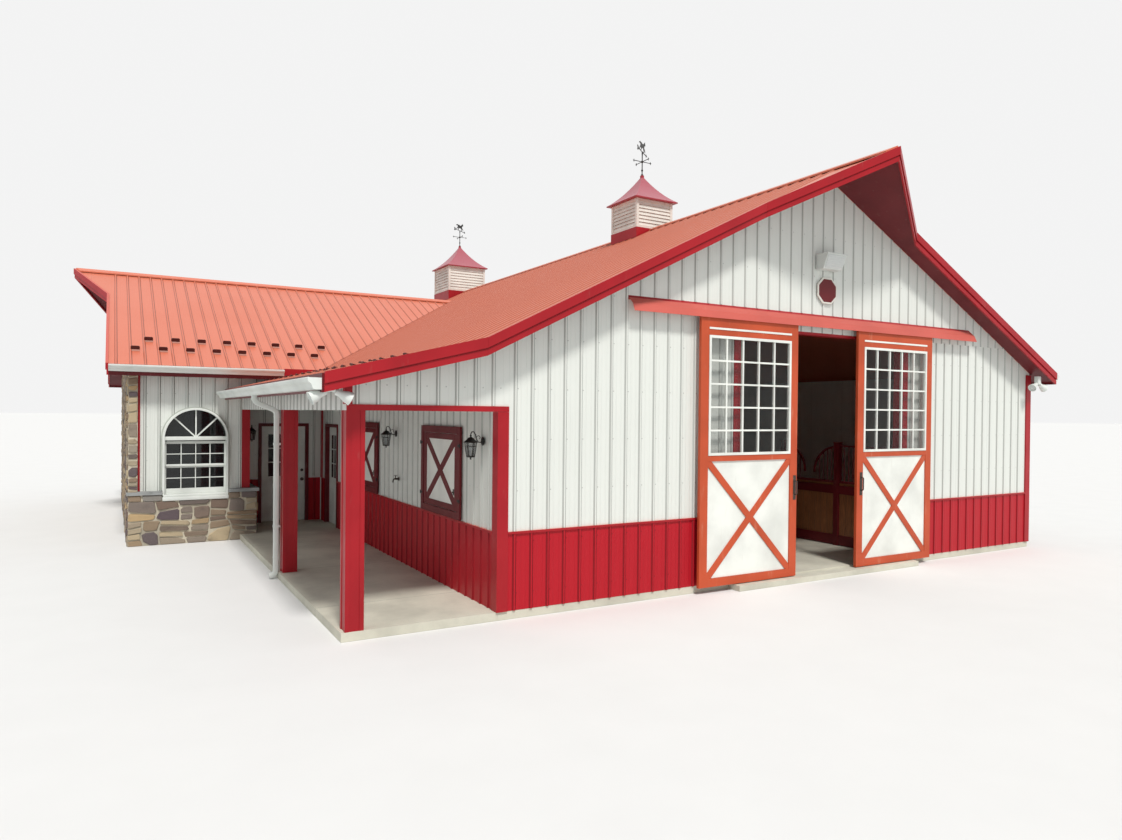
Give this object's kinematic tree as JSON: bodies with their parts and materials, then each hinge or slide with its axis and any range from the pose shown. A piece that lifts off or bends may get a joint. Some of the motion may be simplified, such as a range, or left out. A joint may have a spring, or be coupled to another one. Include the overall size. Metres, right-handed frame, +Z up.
{
  "type": "red and white horse barn with a stone-clad wing",
  "caption": "Horse barn with ribbed metal siding, a red metal roof, a porch, a stone-clad wing, louvred cupolas, and sliding and hinged doors that move.",
  "frame": {"origin": "front left corner of the barn's main walls, on the ground", "axes": "+X to the right along the front wall, +Y back along the ridge, +Z up"},
  "size_m": [16.296, 21.98, 8.477],
  "materials": {
    "concrete": "matte",
    "white_siding": "satin",
    "fieldstone": "matte",
    "ledge_stone": "matte",
    "red_roofing": "satin",
    "red_trim": "satin",
    "maroon_trim": "satin",
    "white_gutter": "gloss",
    "red_door": "satin",
    "white_sash": "satin",
    "window_glass": "gloss",
    "black_iron": "satin",
    "stall_wood": "satin"
  },
  "bodies": {
    "root": {"floor_slab": "concrete", "porch_slab": "concrete", "door_sill": "concrete", "front_wall": "white_siding", "front_gable_wall": "white_siding", "porch_header": "white_siding", "left_wall": "white_siding", "right_wall": "white_siding", "rear_wall": "white_siding", "wing_front_wall": "white_siding", "entry_wall": "white_siding", "wing_gable_wall": "fieldstone", "wing_rear_wall": "white_siding", "stone_wainscot": "fieldstone", "stone_ledge": "ledge_stone", "main_roof_left": "red_roofing", "main_roof_right": "red_roofing", "porch_roof": "red_roofing", "wing_roof_front": "red_roofing", "wing_roof_rear": "red_roofing", "ridge_caps": "red_roofing", "rake_trim": "red_trim", "eave_trim": "red_trim", "soffits": "maroon_trim", "gutters": "white_gutter", "downspout": "white_gutter", "porch_posts": "red_trim", "porch_beam": "white_siding", "wainscot": "red_trim", "wall_trim": "red_trim", "doorway_trim": "red_trim", "track_cover": "red_trim", "entry_door_frames": "maroon_trim", "shutter_windows": "maroon_trim", "shutter_panels": "white_sash", "arched_window_frame": "white_sash", "arched_window_glass": "window_glass", "cupola_bases": "red_trim", "cupola_louvres": "white_siding", "cupola_roofs": "red_trim", "vane_poles": "black_iron", "stall_front": "stall_wood", "stall_grille": "maroon_trim", "porch_lanterns": "black_iron", "floodlights": "white_gutter"},
    "left_door": {"left_door_frame": "red_door", "left_door_infill": "white_sash", "left_door_glass": "window_glass"},
    "right_door": {"right_door_frame": "red_door", "right_door_infill": "white_sash", "right_door_glass": "window_glass"},
    "side_entry": {"side_entry_door": "white_sash"},
    "wing_entry": {"wing_entry_door": "white_sash"},
    "front_vane": {"front_weathervane": "black_iron"},
    "rear_vane": {"rear_weathervane": "black_iron"}
  },
  "joints": [
    {"name": "left_door_slide", "type": "slide", "parent": "root", "child": "left_door", "axis": [1, 0, 0], "range_m": [-1.13, 0.772]},
    {"name": "right_door_slide", "type": "slide", "parent": "root", "child": "right_door", "axis": [1, 0, 0], "range_m": [-0.552, 1.2]},
    {"name": "side_entry_hinge", "type": "hinge", "parent": "root", "child": "side_entry", "pos_m": [0.105, 8.412, 0], "axis": [0, 0, 1], "range_deg": [0, 90]},
    {"name": "wing_entry_hinge", "type": "hinge", "parent": "root", "child": "wing_entry", "pos_m": [-1.234, 9.005, 0], "axis": [0, 0, 1], "range_deg": [0, 90]},
    {"name": "front_vane_spin", "type": "hinge", "parent": "root", "child": "front_vane", "pos_m": [5.585, 4.877, 0], "axis": [0, 0, 1], "continuous": true},
    {"name": "rear_vane_spin", "type": "hinge", "parent": "root", "child": "rear_vane", "pos_m": [5.585, 14.631, 0], "axis": [0, 0, 1], "continuous": true}
  ]
}
